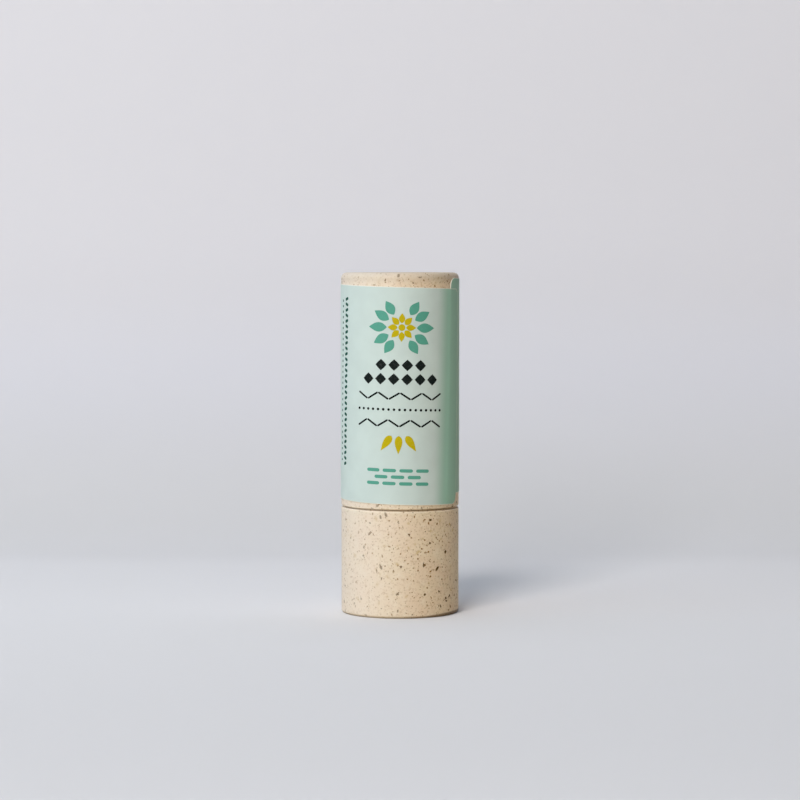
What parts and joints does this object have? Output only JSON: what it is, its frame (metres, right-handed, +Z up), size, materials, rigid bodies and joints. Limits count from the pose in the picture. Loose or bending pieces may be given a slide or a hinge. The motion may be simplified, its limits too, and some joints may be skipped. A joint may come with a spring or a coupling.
{
  "type": "lip balm stick",
  "caption": "Closed round twist-up balm stick: a tall cap with a paper wrap over a short flush base; a turning sleeve inside drives the balm up through spiral grooves.",
  "frame": {"origin": "middle of the face that the stick stands on", "axes": "+Z up along the stick's axis; -Y is the front, where the label's print is; +X is to the right of someone facing the print"},
  "size_m": [0.0222, 0.0222, 0.0637],
  "materials": {
    "fibre_composite": "matte",
    "label_paper": "matte",
    "collar_plastic": "satin",
    "inner_plastic": "satin",
    "brake_rubber": "matte",
    "balm": "satin"
  },
  "bodies": {
    "base": {"base_shell": "fibre_composite", "slotted_tube": "inner_plastic", "brake_ring": "brake_rubber"},
    "sleeve": {"spiral_sleeve": "inner_plastic", "collar_sleeve": "collar_plastic"},
    "elevator": {"balm_cup": "inner_plastic", "balm_stick": "balm"},
    "cap": {"cap_shell": "fibre_composite", "wrap_label": "label_paper"}
  },
  "joints": [
    {"name": "twist", "type": "hinge", "parent": "base", "child": "sleeve", "pos_m": [0, 0, 0.0046], "axis": [0, 0, 1], "range_deg": [0, 720]},
    {"name": "balm_rise", "type": "slide", "parent": "base", "child": "elevator", "axis": [0, 0, 1], "range_m": [0, 0.04]},
    {"name": "cap_pull", "type": "slide", "parent": "elevator", "child": "cap", "axis": [0, 0, 1], "range_m": [0, 0.05]}
  ],
  "couplings": [
    {"joint": "balm_rise", "follows": "twist", "m_per_rad": 0.0031831}
  ]
}
